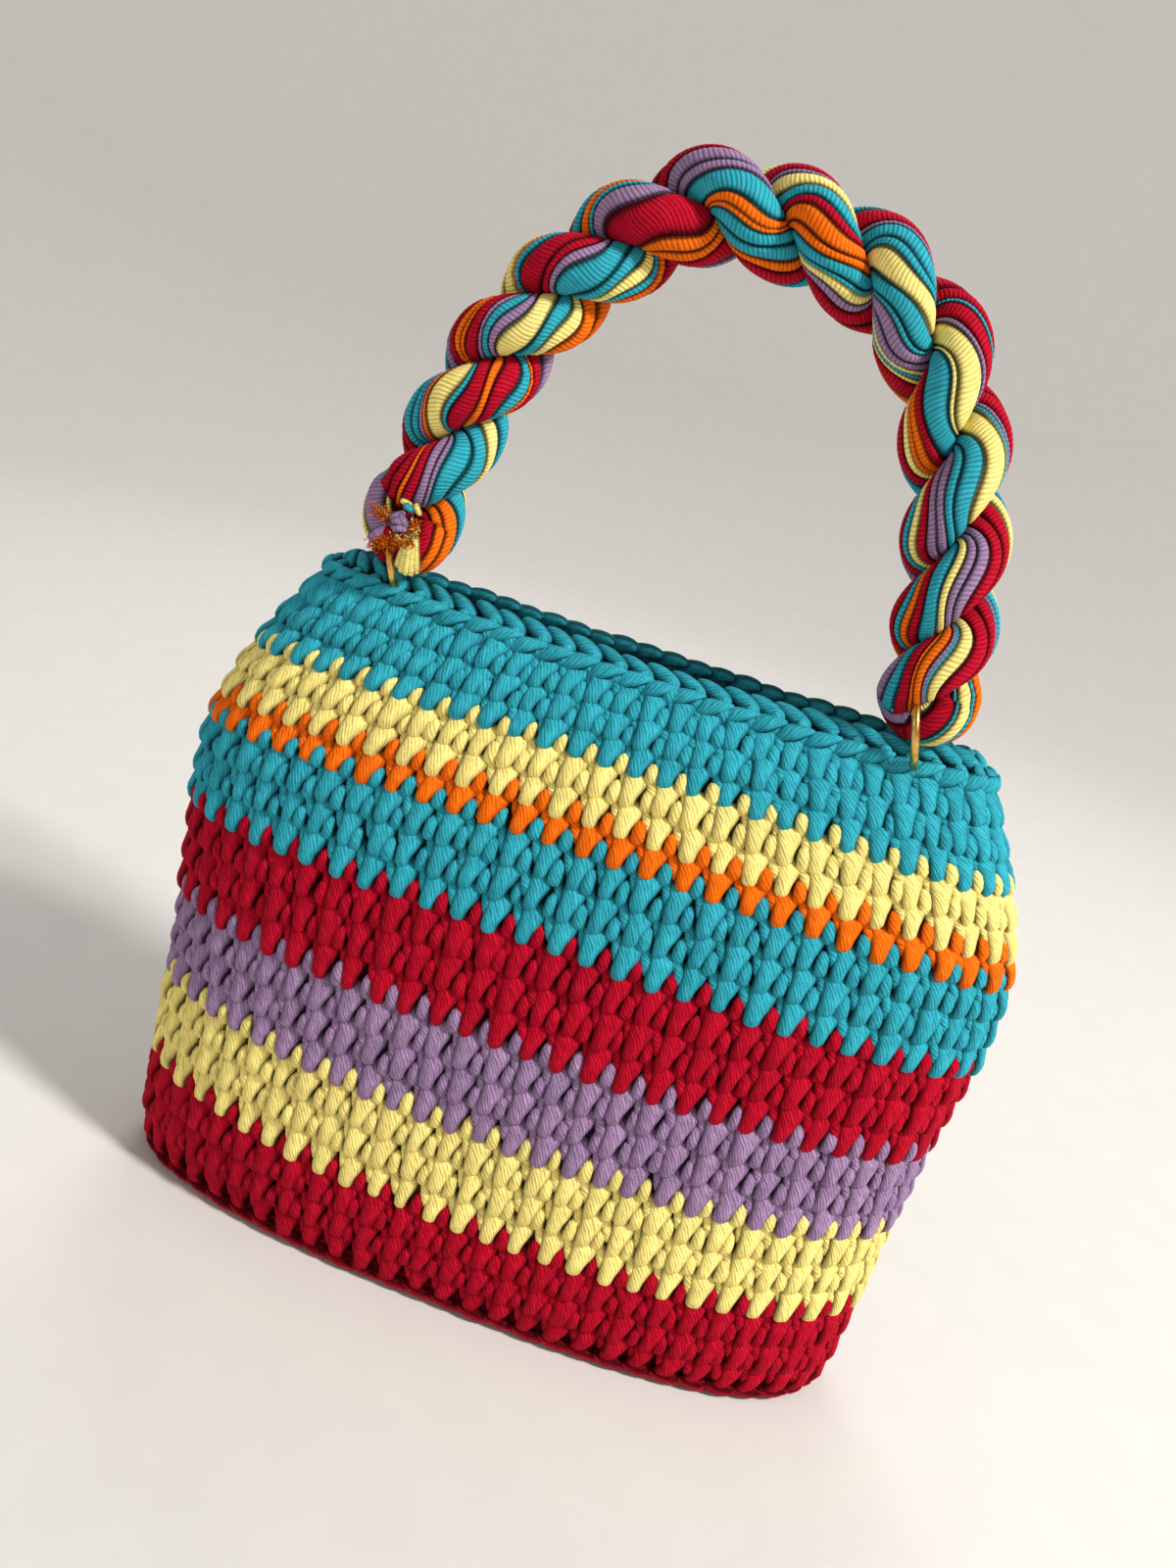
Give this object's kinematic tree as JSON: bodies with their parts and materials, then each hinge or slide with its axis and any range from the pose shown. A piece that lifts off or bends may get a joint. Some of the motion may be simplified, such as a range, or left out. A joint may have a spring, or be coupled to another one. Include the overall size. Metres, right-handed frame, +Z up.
{
  "type": "crochet handbag",
  "caption": "Small open-top handbag crocheted in striped jersey yarn, with an upright twisted rope handle on two metal rings.",
  "frame": {"origin": "middle of the base, on the surface that the bag stands on", "axes": "+X along the bag's width to the viewer's right, -Y out of the front face, +Z up"},
  "size_m": [0.285, 0.09, 0.381],
  "materials": {
    "yarn_turquoise": "matt jersey yarn, ribbed",
    "yarn_yellow": "matt jersey yarn, ribbed",
    "yarn_orange": "matt jersey yarn, ribbed",
    "yarn_red": "matt jersey yarn, ribbed",
    "yarn_lilac": "matt jersey yarn, ribbed",
    "handle_yarn": "bundle of jersey yarns in all the bag's colours",
    "ring_brass": "polished wire"
  },
  "bodies": {
    "root": {"base_panel": "yarn_red", "stripe_red_lower": "yarn_red", "stripe_yellow_lower": "yarn_yellow", "stripe_lilac": "yarn_lilac", "stripe_red_upper": "yarn_red", "stripe_turquoise_middle": "yarn_turquoise", "stripe_orange": "yarn_orange", "stripe_yellow_upper": "yarn_yellow", "stripe_turquoise_top": "yarn_turquoise", "rim_chain": "yarn_turquoise", "ring_left": "ring_brass", "ring_right": "ring_brass", "handle_rope": "handle_yarn", "yarn_knot": "handle_yarn"}
  },
  "joints": []
}
